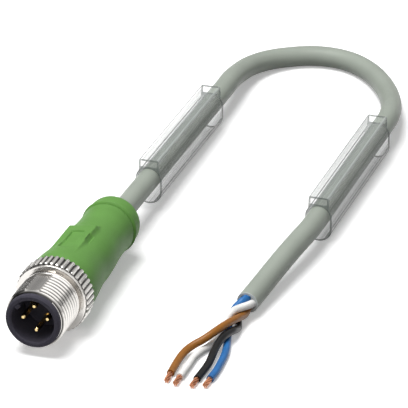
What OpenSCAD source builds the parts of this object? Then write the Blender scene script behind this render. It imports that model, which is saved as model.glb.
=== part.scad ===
// M12 circular plug, four contacts, with a moulded grip on a grey sensor cable.
// The cable lies in a U, carries two clear marker sleeves and ends in four
// stripped wires. Millimetres, +Z up. The plug's axis runs along Y and its nose
// points to -Y. The origin is under the middle of the plug, on the surface
// that its nut stands on.

/* [Coupling nut] */
// Major diameter of the coupling thread
thread_d = 12; // [11.8:0.05:12.2]
// Length of the threaded sleeve, from its front edge to the knurled ring
thread_len = 8.5; // [7.5:0.1:10]
// Diameter of the two flats that interrupt the thread, across the axis
flats_d = 11.4; // [11.25:0.05:11.7]
// Turn of the flats to the left of the top, in degrees
flats_turn = 6; // [0:1:12]
// Diameter of the relief groove behind the thread
relief_d = 11; // [10.8:0.1:11.4]
// Width of the relief groove behind the thread
relief_len = 0.8; // [0.4:0.1:1.2]
// Diameter over the knurl
nut_d = 14.8; // [14.4:0.1:16]
// Diameter of the smooth rim in front of the knurl
rim_d = 14.1; // [13.6:0.1:14.3]
// Length of the smooth rim
rim_len = 0.5; // [0.3:0.1:0.8]
// Length of the knurled ring, with its rim
nut_len = 4.2; // [3.6:0.1:6]
// Number of knurl ridges
knurl_count = 40; // [24:4:48]
// Depth of the knurl grooves
knurl_depth = 0.35; // [0.2:0.05:0.4]
// Chamfer at each end of the knurl
knurl_chamfer = 0.35; // [0.2:0.05:0.5]
// Chamfer at the front of the thread
thread_chamfer = 0.4; // [0.2:0.05:0.6]

/* [Contact carrier] */
// Diameter of the collar in front of the nut
collar_d = 10.9; // [10.4:0.05:10.95]
// Length of the collar in front of the nut
collar_len = 1.1; // [0.8:0.1:1.6]
// Rounding of the collar's front edge
collar_edge = 0.3; // [0.1:0.05:0.5]
// Diameter of the neck that the nut turns on
neck_d = 9.86; // [9.7:0.02:10]
// Inside diameter of the contact cavity
cavity_d = 8.6; // [8.3:0.05:8.8]
// Depth of the contact cavity
cavity_depth = 7.5; // [6.5:0.1:9]
// Length of the carrier, from its front face
carrier_len = 16; // [15:0.1:18]
// Width of the coding key in the cavity
key_w = 1.1; // [0.8:0.1:1.4]
// Height of the coding key, from the cavity's wall
key_h = 0.7; // [0.5:0.1:0.9]

/* [Contacts] */
// Diameter of a contact pin
pin_d = 1; // [0.9:0.02:1.06]
// Diameter of a pin's seat in the carrier
pin_seat_d = 1.4; // [1.3:0.05:1.5]
// Diameter of the circle that the contacts stand on
pin_circle_d = 4.9; // [4.5:0.1:5.1]
// How far the pin tips stand back from the carrier's face
pin_recess = 1.6; // [1:0.1:2.5]
// Length of the taper at a pin's tip
tip_len = 0.6; // [0.4:0.1:0.8]
// Diameter of the solder cup behind a pin
cup_d = 1.6; // [1.5:0.05:1.8]
// Diameter of the solder cup's bore
cup_bore_d = 0.7; // [0.6:0.05:0.8]
// Length of the solder cup
cup_len = 3.5; // [2.5:0.1:4]
// Turn of the contacts and the key about the plug's axis, in degrees
roll = 4; // [-10:1:10]

/* [Inner moulding and friction ring] */
// Diameter of the spigot inside the nut
spigot_d = 11.6; // [11:0.1:12]
// Depth of the counterbore in the nut that takes the spigot
counterbore_len = 2.7; // [2.4:0.1:3]
// Diameter of the counterbore in the nut
counterbore_d = 13.1; // [12.8:0.05:13.4]
// Thickness of the friction ring's round section
ring_d = 1.1; // [1:0.05:1.2]
// Diameter of the inner moulding inside the grip
core_d = 8.4; // [7.6:0.1:9]
// Length of the inner moulding behind the grip's front face
core_len = 16; // [14:0.5:20]
// Length of cable held inside the inner moulding
cable_hold = 5; // [3:0.5:7]

/* [Grip] */
// Length of the grip, from the nut to the cable
grip_len = 33; // [30:0.5:36]
// Diameter of the grip's front collar
grip_front_d = 13.8; // [13:0.1:14]
// Diameter of the grip's middle
grip_mid_d = 12; // [11.4:0.1:12.6]
// Diameter of the waist in front of the rear ring
grip_waist_d = 10.7; // [10.2:0.1:11]
// Diameter of the rear ring
grip_ring_d = 10.9; // [10.6:0.1:11.6]
// Width of the groove in front of the rear ring
groove_w = 0.5; // [0.3:0.1:0.8]
// Depth of the groove in front of the rear ring
groove_depth = 0.3; // [0.2:0.05:0.4]
// Height of the flat thumb panel above the axis
panel_h = 6; // [5.9:0.05:6.3]
// Width of the thumb panel at its top
panel_w = 5.9; // [5.6:0.1:6.8]
// Length of the thumb panel's flat
panel_len = 13; // [11:0.5:15]
// Turn of the thumb panel to the left of the top, in degrees
panel_turn = 9; // [0:1:14]
// Length of the window sunk in the thumb panel
window_len = 8; // [6:0.5:10]
// Width of the window
window_w = 2.8; // [2:0.1:3.4]
// Depth of the window
window_depth = 0.25; // [0.15:0.05:0.35]
// Length of the position notch beside the panel
notch_len = 5; // [3:0.5:6]
// Width of the position notch
notch_w = 1; // [0.8:0.1:1.4]

/* [Cable and wires] */
// Diameter of the cable
cable_d = 4.4; // [4.2:0.05:4.6]
// Diameter of an insulated wire
wire_d = 1.36; // [1.1:0.02:1.36]
// Diameter of a wire's bare strands
strand_d = 0.9; // [0.7:0.05:1]
// Length of the bare strands
strand_len = 3.2; // [2:0.1:4]

/* [Marker sleeves] */
// Length of a marker sleeve
sleeve_len = 41; // [35:0.5:42]
// Outside width of a sleeve
sleeve_w = 5.6; // [5.4:0.05:5.8]
// Outside height of a sleeve's oval tube
sleeve_h = 8; // [7.6:0.1:8.4]
// Wall of a sleeve
sleeve_wall = 0.4; // [0.3:0.05:0.45]
// Outside width of the label pocket on top of a sleeve
pocket_w = 4.2; // [3.6:0.1:4.4]
// Outside height of the label pocket above the tube
pocket_h = 1.6; // [1.3:0.1:1.9]

/* [Hidden] */

// Named clearances
turn_gap = 0.07;    // radial, between the nut's bore and the carrier's neck
end_gap = 0.1;      // axial play of the nut at each end
seat_gap = 0.01;    // round a moulded-in or pressed piece
ring_gap = 0.05;    // between the friction ring and the nut's counterbore
grip_gap = 0.15;    // between the nut and the grip
cable_drop = 0.1;   // between a sleeve's bore and the cable under its top

// Stations along the plug's axis, measured back from the carrier's face
nut_start = collar_len + end_gap;
ring_start = nut_start + thread_len;
nut_end = ring_start + nut_len;
spigot_start = nut_end - counterbore_len + end_gap;
grip_start = nut_end + grip_gap;
plug_len = grip_start + grip_len;
core_end = grip_start + core_len;
cable_start = core_end - cable_hold;
cup_end = carrier_len + cup_len;
cup_depth = 0.7 * cup_len;

axis_z = nut_d / 2;
nose_y = -plug_len / 2;
eps = 0.5;          // overrun of a cutting shape
fine = 96;

// ---- placing and profiles ----

// Children are drawn along +Z from the nose, and laid along the plug's axis.
// A child's own +X stays +X, and its -Y is up.
module on_axis() {
    translate([0, nose_y, axis_z]) rotate([-90, 0, 0]) children();
}

// Turns children about the plug's axis, so that +X points to this angle above the horizontal
module at_angle(a) {
    rotate([0, 0, -a]) children();
}

// A body of revolution from [radius, station] points
module turned(points) {
    rotate_extrude($fn = fine) polygon(points);
}

module disc(d, from, to) {
    translate([0, 0, from]) cylinder(h = to - from, d = d, $fn = fine);
}

// A straight rod between two points
module rod(p, q, d) {
    v = q - p;
    translate(p) rotate([0, acos(v[2] / norm(v)), atan2(v[1], v[0])])
        cylinder(h = norm(v), d = d, $fn = 32);
}

// ---- cables: a ring of points at each route point, joined to a closed skin ----

function unit(v) = v / norm(v);
function heading(route, i) =
    i == 0 ? unit(route[1] - route[0]) :
    i == len(route) - 1 ? unit(route[i] - route[i - 1]) :
    unit(unit(route[i + 1] - route[i]) + unit(route[i] - route[i - 1]));
function ring_points(centre, dir, r, sides) =
    let (side = unit(cross(dir, [0, 0, 1])), top = cross(side, dir))
    [for (k = [0:sides - 1]) centre + r * (cos(360 * k / sides) * side + sin(360 * k / sides) * top)];

// square_ends is [true, true] where an end's face lies across Y
module swept(route, d, sides, square_ends) {
    last = len(route) - 1;
    dirs = [for (i = [0:last])
        (i == 0 && square_ends[0]) || (i == last && square_ends[1])
            ? [0, sign(heading(route, i)[1]), 0] : heading(route, i)];
    points = [for (i = [0:last]) each ring_points(route[i], dirs[i], d / 2, sides)];
    walls = [for (i = [0:last - 1]) for (k = [0:sides - 1])
        let (a = i * sides + k, b = i * sides + (k + 1) % sides)
            each [[a, b, b + sides], [a, b + sides, a + sides]]];
    front = [for (k = [0:sides - 1]) sides - 1 - k];
    back = [for (k = [0:sides - 1]) last * sides + k];
    polyhedron(points, concat([front], walls, [back]), convexity = 10);
}

// Route of the cable: out of the grip and straight through the first sleeve, round
// the bend on the surface, and straight through the second sleeve to its cut end
leg_1_start = [0, 23, 7.4];
leg_1_step = [-0.15, 10, -0.3];
bend = [[-1.3, 98.5, 5], [-1.5, 104, 4.1], [-0.9, 110.5, 3.2], [1.4, 116, 2.6], [5.2, 120, 2.25],
        [9.8, 122.2, 2.25], [15, 122.6, 2.25], [20, 120.9, 2.25], [24.6, 117.2, 2.3], [28.6, 111.8, 2.6],
        [32, 105.2, 3.2], [34.6, 98, 4.1], [35.8, 92.6, 4.9]];
leg_2 = [[36.3, 88, 5.3], [36.3, 75, 5.3], [36.3, 62, 5.3], [36.3, 49, 5.3], [36.3, 36, 5.3],
         [35.8, 29.6, 5.2], [35.1, 23.2, 4.8], [34.4, 16.8, 4.2], [33.7, 10.4, 3.5], [33.1, 5, 3]];
cable_route = concat([[0, nose_y + cable_start, axis_z], [0, 14, axis_z]],
                     [for (k = [0:7]) leg_1_start + k * leg_1_step], bend, leg_2);

// Routes of the wires, from the cable's cut face to where their insulation ends
brown_route = [[33.2, 5, 1.9], [33.5, 2.5, 1.9], [33.4, 0.5, 2.3], [33.2, -1.6, 2.9], [32.7, -4.4, 3.4],
               [31.9, -7.4, 3.6], [30.8, -9.8, 3.2], [29.6, -11.2, 2.5], [28.2, -12.4, 1.8],
               [27.2, -14.4, 1.3], [26.9, -17.6, 1], [27.1, -22.6, 0.75]];
white_route = [[34.2, 5, 3.1], [33.9, 3.4, 3.4], [33, 1.6, 3.6], [32, 0, 3.5], [31.4, -2.2, 2.9],
               [31.1, -6, 1.7], [30.6, -9.8, 0.75], [29.8, -12.2, 0.75], [29.2, -15, 0.75],
               [29.2, -18.6, 0.75], [29.2, -23.4, 0.75]];
blue_route = [[33, 5, 4], [32.5, 3.6, 3.9], [31.5, 2.2, 2.8], [31.3, 0.6, 1.9], [31.4, -1.2, 1],
              [31.8, -2.8, 0.75], [32.4, -4.8, 0.75], [33.4, -8.2, 0.75], [34.3, -12, 0.75],
              [34.7, -15.8, 0.75], [34.9, -19.2, 0.75], [34.8, -22.4, 0.75]];
black_route = [[32, 5, 2.8], [31.9, 3.6, 2], [32.2, 2.2, 1.2], [32.7, 0.6, 0.8], [33.3, -1.2, 0.8],
               [33.5, -3, 1.3], [33.5, -5, 2], [33.2, -6.6, 2.3], [32.8, -8.4, 2.4], [32.5, -10, 2.1],
               [32.4, -12.4, 1.6], [32.7, -17.4, 0.9], [32.5, -23.2, 0.75]];

// ---- sub-parts ----

module contact_spots() {
    for (i = [0:3]) at_contact(i) children();
}

// Contact 1 stands at the top, and 2, 3 and 4 follow to the left
module at_contact(i) {
    at_angle(roll + 90 + 90 * i) translate([pin_circle_d / 2, 0, 0]) children();
}

module contact_carrier() {
    color("#26282b") on_axis() difference() {
        union() {
            difference() {
                turned([[0, 0], [collar_d / 2 - collar_edge, 0], [collar_d / 2, collar_edge],
                        [collar_d / 2, collar_len], [neck_d / 2, collar_len],
                        [neck_d / 2, carrier_len], [0, carrier_len]]);
                turned([[0, -eps], [cavity_d / 2 + collar_edge, -eps], [cavity_d / 2 + collar_edge, 0],
                        [cavity_d / 2, collar_edge], [cavity_d / 2, cavity_depth], [0, cavity_depth]]);
            }
            coding_key();
        }
        contact_spots() disc(pin_seat_d + 2 * seat_gap, cavity_depth - eps, carrier_len + eps);
    }
}

// The rib that lets the plug into its socket one way round
module coding_key() {
    at_angle(roll + 135)
        translate([cavity_d / 2 - key_h, -key_w / 2, collar_edge])
            cube([key_h + (neck_d - cavity_d) / 4, key_w, cavity_depth - collar_edge + 0.2]);
}

// A turned pin with a tapered tip, and a cup behind that takes the wire
module contact_pin(i) {
    color("#d8b25a") on_axis() at_contact(i) difference() {
        turned([[0, pin_recess], [pin_d * 0.28, pin_recess], [pin_d * 0.44, pin_recess + tip_len / 3],
                [pin_d / 2, pin_recess + tip_len], [pin_d / 2, cavity_depth],
                [pin_seat_d / 2, cavity_depth], [pin_seat_d / 2, carrier_len],
                [cup_d / 2, carrier_len], [cup_d / 2, cup_end], [0, cup_end]]);
        disc(cup_bore_d, cup_end - cup_depth, cup_end + eps);
    }
}

// A knurled ring with straight V grooves
module knurl_profile() {
    pitch = 360 / knurl_count;
    r = nut_d / 2;
    polygon([for (i = [0:knurl_count - 1]) for (step = [[-0.14, 0], [0.14, 0], [0.42, 1], [0.58, 1]])
        (r - step[1] * knurl_depth) * [cos((i + step[0]) * pitch), sin((i + step[0]) * pitch)]]);
}

module coupling_nut() {
    knurl_start = ring_start + rim_len;
    bore = neck_d + 2 * turn_gap;
    inner = nut_d / 2 - knurl_depth;
    color("#c4c5c3") on_axis() difference() {
        union() {
            difference() {
                turned([[0, nut_start], [thread_d / 2 - thread_chamfer, nut_start],
                        [thread_d / 2, nut_start + thread_chamfer], [thread_d / 2, ring_start - relief_len],
                        [relief_d / 2, ring_start - relief_len], [relief_d / 2, ring_start],
                        [rim_d / 2 - 0.15, ring_start], [rim_d / 2, ring_start + 0.15],
                        [rim_d / 2, knurl_start], [inner, knurl_start], [inner, nut_end], [0, nut_end]]);
                for (side = [90, 270]) at_angle(side + flats_turn)
                    translate([flats_d / 2, -thread_d / 2, nut_start - eps])
                        cube([thread_d, thread_d, thread_len - relief_len + eps]);
            }
            intersection() {
                translate([0, 0, knurl_start]) linear_extrude(nut_end - knurl_start) knurl_profile();
                turned([[0, knurl_start], [nut_d / 2 - knurl_chamfer, knurl_start],
                        [nut_d / 2 + 0.01, knurl_start + knurl_chamfer],
                        [nut_d / 2 + 0.01, nut_end - knurl_chamfer],
                        [nut_d / 2 - knurl_chamfer, nut_end], [0, nut_end]]);
            }
        }
        disc(bore, nut_start - eps, nut_end + eps);
        disc(counterbore_d, nut_end - counterbore_len, nut_end + eps);
    }
}

// Keeps the nut from shaking loose: it rubs in the nut's counterbore
ring_centre_d = counterbore_d - 2 * ring_gap - ring_d;
ring_station = spigot_start + (grip_start - spigot_start) / 2;

module ring_section(d) {
    translate([0, 0, ring_station])
        rotate_extrude($fn = fine) translate([ring_centre_d / 2, 0]) circle(d = d, $fn = 32);
}

module friction_ring() {
    color("#3a3a3a") on_axis() ring_section(ring_d);
}

// Outline of the inner moulding, which the grip is moulded over
module core_outline(gap) {
    turned([[0, spigot_start], [spigot_d / 2, spigot_start], [spigot_d / 2, grip_start + 3 + gap],
            [core_d / 2 + gap, grip_start + 5], [core_d / 2 + gap, core_end + gap], [0, core_end + gap]]);
}

// The stretch of wire i between its cup and the cable, inside the moulding
module wire_tail(i, d) {
    a = roll + 90 + 90 * i;
    out = [cos(a), -sin(a), 0];
    from = pin_circle_d / 2 * out + [0, 0, cup_end];
    to = cable_d / 4 * out + [0, 0, cable_start];
    over = eps * unit(to - from);
    intersection() {
        disc(spigot_d, cup_end, cable_start);
        rod(from - over, to + over, d);
    }
}

module inner_moulding() {
    color("#1d1e20") on_axis() difference() {
        core_outline(0);
        disc(neck_d + 2 * seat_gap, spigot_start - eps, carrier_len);
        contact_spots() disc(cup_d + 2 * seat_gap, carrier_len - eps, cup_end);
        for (i = [0:3]) wire_tail(i, wire_d + 2 * seat_gap);
        disc(cable_d + 2 * seat_gap, cable_start, core_end + eps);
        ring_section(ring_d + 2 * seat_gap);
    }
}

// Radius of the grip's round body at a station behind its front face
function smooth(a, b, x) = let (u = min(1, max(0, (x - a) / (b - a)))) u * u * (3 - 2 * u);
function mix(p, q, u) = p + (q - p) * u;
function grip_r(s) =
    mix(mix(mix(grip_front_d, grip_mid_d, smooth(0.04, 0.36, s / grip_len)),
            grip_waist_d, smooth(0.4, 0.72, s / grip_len)),
        grip_ring_d, smooth(0.74, 0.84, s / grip_len)) / 2;

groove_at = grip_len - 5.6;   // station of the groove behind the grip's front face
cap_round = 2.4;              // rounding of the grip's rear end
front_round = 0.6;            // rounding of the grip's front edge

module grip_round_body() {
    front = [for (a = [0:15:75]) [grip_front_d / 2 - front_round * (1 - sin(a)),
                                  grip_start + front_round * (1 - cos(a))]];
    sides = [for (s = [front_round:1:groove_at - 0.5]) [grip_r(s), grip_start + s]];
    ring = grip_start + groove_at;
    rear = [for (a = [0:15:90]) [grip_ring_d / 2 - cap_round * (1 - cos(a)),
                                 plug_len - cap_round * (1 - sin(a))]];
    turned(concat([[0, grip_start]], front, sides,
        [[grip_r(groove_at), ring], [grip_r(groove_at) - groove_depth, ring],
         [grip_r(groove_at) - groove_depth, ring + groove_w], [grip_ring_d / 2, ring + groove_w]],
        rear, [[0, plug_len]]));
}

// A rounded rectangle, long along Y, from squares and circles
module soft_rect(w, l, r) {
    square([w - 2 * r, l], center = true);
    square([w, l - 2 * r], center = true);
    for (x = [-1, 1]) for (y = [-1, 1])
        translate([x * (w / 2 - r), y * (l / 2 - r)]) circle(r = r, $fn = 32);
}

// The flat panel for the thumb: a ridge with sloping flanks and a sloping rear end
panel_start = grip_start + 3.2;
panel_slope = 2.2;            // run of the slope behind the panel
notch_depth = 0.35;           // below the grip's middle diameter
notch_angle = 70;             // above the horizontal, on the right
module thumb_panel() {
    flank = 1.1;
    foot = 3.4;
    intersection() {
        linear_extrude(panel_start + panel_len + panel_slope) polygon([
            [-panel_w / 2 - flank, foot], [-panel_w / 2 + 0.5, panel_h], [panel_w / 2 - 0.5, panel_h],
            [panel_w / 2 + flank, foot], [panel_w / 2 + flank, 0], [-panel_w / 2 - flank, 0]]);
        rotate([90, 0, 90]) translate([0, 0, -panel_w]) linear_extrude(2 * panel_w) polygon([
            [0, panel_start - 1], [foot, panel_start - 1], [panel_h, panel_start],
            [panel_h, panel_start + panel_len], [foot, panel_start + panel_len + panel_slope],
            [0, panel_start + panel_len + panel_slope]]);
    }
}

module grip_body() {
    window_mid = panel_start + panel_len / 2;
    color("#64a052") on_axis() difference() {
        union() {
            grip_round_body();
            rotate([0, 0, 180 - panel_turn]) thumb_panel();
        }
        rotate([0, 0, 180 - panel_turn]) {
            translate([0, panel_h - window_depth, window_mid]) rotate([-90, 0, 0])
                linear_extrude(1) soft_rect(window_w, window_len, 0.4);
        }
        at_angle(notch_angle) translate([grip_mid_d / 2 - notch_depth, 0, window_mid + 2]) rotate([90, 0, 90])
            linear_extrude(1) soft_rect(notch_w, notch_len, 0.4);
        core_outline(seat_gap);
        disc(spigot_d, spigot_start - eps, grip_start + 1);
        disc(cable_d + 2 * seat_gap, core_end - eps, plug_len + eps);
    }
}

module cable_jacket() {
    color("#a4aba2") swept(cable_route, cable_d, 12, [true, true]);
}

module wire(i, route) {
    swept(route, wire_d, 8, [true, false]);
    on_axis() wire_tail(i, wire_d);
}

// Bare copper at both ends of wire i: the stripped tip, and the end inside the cup
module strands(i, route) {
    tip = route[len(route) - 1];
    color("#c07a4c") {
        rod(tip, tip + strand_len * heading(route, len(route) - 1), strand_d);
        on_axis() at_contact(i) disc(cup_bore_d - 2 * seat_gap, cup_end - cup_depth, cup_end);
    }
}

module wire_brown() { color("#8a5a2b") wire(0, brown_route); }
module wire_white() { color("#eceae4") wire(1, white_route); }
module wire_blue() { color("#3f78c0") wire(2, blue_route); }
module wire_black() { color("#1c1c1e") wire(3, black_route); }
module strands_brown() { strands(0, brown_route); }
module strands_white() { strands(1, white_route); }
module strands_blue() { strands(2, blue_route); }
module strands_black() { strands(3, black_route); }

// Cross-section of a marker sleeve, from its lowest line up
bore_r = sleeve_w / 2 - sleeve_wall;
cable_in_sleeve = sleeve_h - sleeve_wall - cable_drop - cable_d / 2;

module oval(r, low, high) {
    for (z = [low, high]) translate([0, z]) circle(r = r, $fn = 64);
    translate([-r, low]) square([2 * r, high - low]);
}

module pocket_outline() {
    base = sleeve_h - sleeve_w / 2;
    top = sleeve_h + pocket_h;
    edge = 0.4;
    polygon([[-pocket_w / 2 - 0.3, base], [-pocket_w / 2, top - edge], [-pocket_w / 2 + edge, top],
             [pocket_w / 2 - edge, top], [pocket_w / 2, top - edge], [pocket_w / 2 + 0.3, base]]);
}

module sleeve_body() {
    low = sleeve_w / 2;
    high = sleeve_h - sleeve_w / 2;
    difference() {
        union() {
            linear_extrude(sleeve_len) oval(sleeve_w / 2, low, high);
            linear_extrude(sleeve_len) pocket_outline();
        }
        translate([0, 0, -eps]) linear_extrude(sleeve_len + 2 * eps) oval(bore_r, low, high);
        translate([-pocket_w / 2 + sleeve_wall, sleeve_h, -eps])
            cube([pocket_w - 2 * sleeve_wall, pocket_h - sleeve_wall, sleeve_len + 2 * eps]);
    }
}

// A sleeve whose cable line passes through a point, along a direction in the frame
module marker_sleeve(near, dir) {
    color("#dfe6ea", 0.45)
        translate(near) rotate([asin(dir[2] / norm(dir)), 0, -atan2(dir[0], dir[1])])
            translate([0, sleeve_len, -cable_in_sleeve]) rotate([90, 0, 0]) sleeve_body();
}

sleeve_1_at = 2;              // steps along the first leg to the sleeve's near end
sleeve_2_y = 40.5;            // the second sleeve's near end
module marker_sleeve_1() { marker_sleeve(leg_1_start + sleeve_1_at * leg_1_step, leg_1_step); }
module marker_sleeve_2() { marker_sleeve([leg_2[0][0], sleeve_2_y, leg_2[0][2]], [0, 1, 0]); }

contact_carrier();
contact_pin(0);  // contact_pin_1
contact_pin(1);  // contact_pin_2
contact_pin(2);  // contact_pin_3
contact_pin(3);  // contact_pin_4
coupling_nut();
friction_ring();
inner_moulding();
grip_body();
cable_jacket();
wire_brown();
wire_white();
wire_blue();
wire_black();
strands_brown();
strands_white();
strands_blue();
strands_black();
marker_sleeve_1();
marker_sleeve_2();
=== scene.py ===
"""Looks of a circular plug with four contacts on a sensor cable.

Builds the turned nut, the moulded grip, the cable, its wires and the marker sleeves round the
part's own solids. Run as a script in Blender 4.5.
"""
import math

import bpy
import bmesh
from mathutils import Matrix, Vector


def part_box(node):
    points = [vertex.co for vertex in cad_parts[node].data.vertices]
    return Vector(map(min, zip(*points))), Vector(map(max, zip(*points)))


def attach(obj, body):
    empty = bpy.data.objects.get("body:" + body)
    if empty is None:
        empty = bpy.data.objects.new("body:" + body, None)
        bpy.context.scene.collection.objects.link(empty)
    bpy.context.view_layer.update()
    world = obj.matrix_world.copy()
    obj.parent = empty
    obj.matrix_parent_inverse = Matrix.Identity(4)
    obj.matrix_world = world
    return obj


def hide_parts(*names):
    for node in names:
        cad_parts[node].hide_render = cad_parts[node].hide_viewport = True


bl_info = {
    "name": "Circular Sensor Plug",
    "version": (1, 0, 0),
    "blender": (4, 5, 0),
    "location": "3D View > Sidebar > Sensor Plug",
    "description": "Builds the visible pieces and the materials of a circular plug on a cable",
    "category": "Add Mesh",
}

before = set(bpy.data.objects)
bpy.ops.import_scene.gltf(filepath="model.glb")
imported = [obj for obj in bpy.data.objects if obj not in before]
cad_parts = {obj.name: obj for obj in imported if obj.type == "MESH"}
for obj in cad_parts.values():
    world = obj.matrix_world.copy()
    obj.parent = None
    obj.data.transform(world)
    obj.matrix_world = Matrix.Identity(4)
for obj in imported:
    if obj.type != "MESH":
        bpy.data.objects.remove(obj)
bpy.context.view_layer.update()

MM = 0.001
TURN = 2 * math.pi
UP = Vector((0, 0, 1))

# The plug's axis, its nose and its pieces' ends, read from the solids
NUT_LOW, NUT_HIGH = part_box("coupling_nut")
GRIP_LOW, GRIP_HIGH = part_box("grip_body")
SLEEVE_LOW, SLEEVE_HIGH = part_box("marker_sleeve_2")
AXIS_Z = (NUT_LOW[2] + NUT_HIGH[2]) / 2
NOSE_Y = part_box("contact_carrier")[0][1]
NUT_START = NUT_LOW[1] - NOSE_Y
NUT_END = NUT_HIGH[1] - NOSE_Y
KNURL_TOP = NUT_HIGH[2] - AXIS_Z
GRIP_START = GRIP_LOW[1] - NOSE_Y
PLUG_LENGTH = GRIP_HIGH[1] - NOSE_Y


def linear(code):
    """A colour written as a hex code, in the linear values that Blender's sockets hold."""
    values = []
    for k in (0, 2, 4):
        c = int(code[k:k + 2], 16) / 255
        values.append(c / 12.92 if c <= 0.04045 else ((c + 0.055) / 1.055) ** 2.4)
    return tuple(values)


def shaded(colour, factor=1.0):
    """A lighter or darker tone of a linear colour, as four values for a socket."""
    return tuple(min(1.0, c * factor) for c in colour) + (1.0,)


WHITE = shaded(linear("ffffff"))


def length_prop(name, text, value):
    return bpy.props.FloatProperty(
        name=name, description=text, default=value, unit="LENGTH", min=0.0, precision=5)


def colour_prop(name, text, code):
    return bpy.props.FloatVectorProperty(
        name=name, description=text, default=linear(code), subtype="COLOR", min=0.0, max=1.0)


# ---------------------------------------------------------------- sizes and colours

class PlugSizes(bpy.types.PropertyGroup):
    """Sizes of the plug's own pieces"""
    thread_d: length_prop("Thread diameter", "Diameter over the thread's crests", 12 * MM)
    root_d: length_prop("Root diameter", "Diameter at the thread's roots", 10.95 * MM)
    pitch: length_prop("Pitch", "Distance from one thread crest to the next", 1 * MM)
    flats_d: length_prop("Across flats", "Distance across the thread's two flats", 11.64 * MM)
    relief_d: length_prop("Relief diameter", "Diameter of the groove behind the thread", 11 * MM)
    rim_d: length_prop("Rim diameter", "Diameter of the smooth rim before the knurl", 14.1 * MM)
    nut_bore_d: length_prop("Nut bore", "Diameter of the bore that the nut turns on", 10 * MM)
    nut_rear_d: length_prop("Rear bore", "Diameter of the bore behind the collar", 13.1 * MM)
    ridge_h: length_prop("Ridge height", "Height of a knurl ridge", 0.35 * MM)
    ridge_count: bpy.props.IntProperty(
        name="Ridges", description="Number of knurl ridges", default=40, min=12, max=80)
    grip_front_d: length_prop("Grip front", "Diameter of the grip's front collar", 13.8 * MM)
    grip_mid_d: length_prop("Grip middle", "Diameter of the grip's middle", 12.0 * MM)
    grip_waist_d: length_prop("Grip waist", "Diameter of the waist at the rear", 10.7 * MM)
    grip_ring_d: length_prop("Grip ring", "Diameter of the grip's rear ring", 10.9 * MM)
    panel_h: length_prop("Panel height", "Height of the thumb panel over the axis", 6.0 * MM)
    panel_w: length_prop("Panel width", "Width of the thumb panel", 5.9 * MM)
    panel_l: length_prop("Panel length", "Length of the thumb panel's flat", 13 * MM)
    window_w: length_prop("Window width", "Width of the window sunk in the panel", 2.8 * MM)
    window_l: length_prop("Window length", "Length of the window sunk in the panel", 8 * MM)
    window_depth: length_prop("Window depth", "Depth of the window", 0.4 * MM)


class CableSizes(bpy.types.PropertyGroup):
    """Sizes of the cable, its wires and the sleeves on it"""
    cable_d: length_prop("Cable diameter", "Outside diameter of the cable", 4.4 * MM)
    jacket_wall: length_prop("Jacket wall", "Thickness of the cable's jacket", 0.55 * MM)
    wire_d: length_prop("Wire diameter", "Outside diameter of an insulated wire", 1.5 * MM)
    bundle_d: length_prop("Bundle diameter", "Diameter of a wire's bundle of strands", 1.05 * MM)
    strand_d: length_prop("Strand diameter", "Diameter of one copper strand", 0.3 * MM)
    strand_l: length_prop("Strand length", "Length of the bare strands", 3.1 * MM)
    strand_turns: bpy.props.FloatProperty(
        name="Strand turns", description="Turns of the strands along their bare length",
        default=0.35, min=0.0, max=2.0)
    strand_count: bpy.props.IntProperty(
        name="Strands", description="Number of strands round the middle one",
        default=6, min=3, max=18)
    sleeve_w: length_prop("Sleeve width", "Outside width of a marker sleeve", 5.6 * MM)
    sleeve_h: length_prop("Sleeve height", "Outside height of a sleeve's oval tube", 8.0 * MM)
    sleeve_wall: length_prop("Sleeve wall", "Thickness of a sleeve's wall", 0.4 * MM)
    pocket_w: length_prop("Pocket width", "Outside width of the label pocket", 4.2 * MM)
    pocket_h: length_prop("Pocket height", "Height of the pocket over the tube", 1.6 * MM)


class PlugColours(bpy.types.PropertyGroup):
    """Colours of the plug, the cable and the stage"""
    nickel: colour_prop("Nickel", "Colour of the plated nut", "d2cfcb")
    gold: colour_prop("Gold", "Colour of the contacts", "d9c08a")
    carrier: colour_prop("Carrier", "Colour of the contact carrier", "403e48")
    inner: colour_prop("Inner moulding", "Colour of the moulding under the grip", "202224")
    rubber: colour_prop("Rubber", "Colour of the friction ring", "262626")
    grip: colour_prop("Grip", "Colour of the moulded grip", "66964b")
    jacket: colour_prop("Jacket", "Colour of the cable's jacket", "9ea59b")
    cut_face: colour_prop("Cut face", "Colour of the jacket where it is cut", "c3c8c8")
    brown: colour_prop("Brown wire", "Colour of the brown wire", "966022")
    white: colour_prop("White wire", "Colour of the white wire", "f6f5f2")
    blue: colour_prop("Blue wire", "Colour of the blue wire", "2a6cac")
    black: colour_prop("Black wire", "Colour of the black wire", "040406")
    copper: colour_prop("Copper", "Colour of the bare strands", "c98a66")
    sleeve: colour_prop("Sleeve", "Tint of the clear sleeves", "bcc2bf")
    # The sleeves' cut ends take this darker tone as painted shade, which draws their edges dark
    sleeve_cut: colour_prop("Sleeve end", "Tint of the sleeves where they are cut", "7c8481")
    floor: colour_prop("Floor", "Colour of the floor", "6e6e6e")


# ---------------------------------------------------------------- mesh helpers

def spin_point(radius, angle, station):
    """A point on the plug: angle in radians from +X towards +Z, station from the nose."""
    return (radius * math.cos(angle), NOSE_Y + station, AXIS_Z + radius * math.sin(angle))


def joined(rings):
    """The points of all rings in one list."""
    return [point for ring in rings for point in ring]


def placed(thing):
    """Adds an object to the scene."""
    bpy.context.scene.collection.objects.link(thing)
    return thing


def new_mesh_object(name, points, faces, sharp_deg=35):
    mesh = bpy.data.meshes.new(name)
    mesh.from_pydata([tuple(p) for p in points], [], faces)
    mesh.validate()
    return finished(name, mesh, sharp_deg)


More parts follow.
